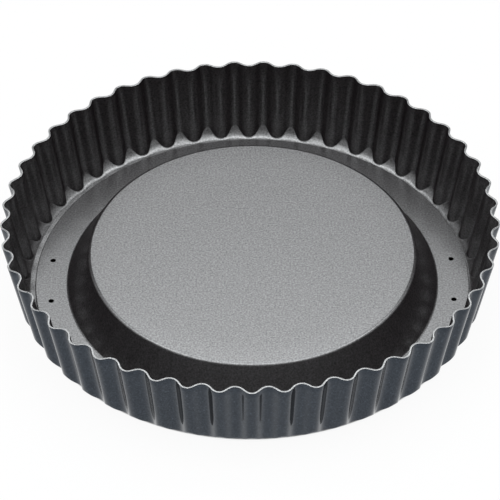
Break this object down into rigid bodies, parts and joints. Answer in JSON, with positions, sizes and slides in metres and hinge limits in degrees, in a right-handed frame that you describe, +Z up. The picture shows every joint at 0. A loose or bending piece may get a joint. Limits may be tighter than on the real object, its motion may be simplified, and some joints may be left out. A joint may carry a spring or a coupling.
{
  "type": "tart pan",
  "caption": "Round fluted tart pan: a wavy wall that leans outwards stands on a narrow ledge, and a loose base with a raised flat disc lies on it and lifts out.",
  "frame": {"origin": "centre of the circle that the pan stands on, in the plane of the ring's underside", "axes": "+Z up along the pan's axis, out of its open top; an outward flute points along -Y and the small holes lie near +X and -X; the loose base lies 1.2 mm towards +X on its ledge, as it does where it rests against one side"},
  "size_m": [0.2812, 0.2811, 0.0489],
  "materials": {
    "ring_coat": "dark grey metallic non-stick coat, satin",
    "base_coat": "dark grey metallic non-stick coat, satin, finely speckled"
  },
  "bodies": {
    "ring": {"fluted_ring": "ring_coat"},
    "base": {"loose_base": "base_coat"}
  },
  "joints": [
    {"name": "base_lift", "type": "slide", "parent": "ring", "child": "base", "axis": [0, 0, 1], "range_m": [0, 0.06]}
  ]
}
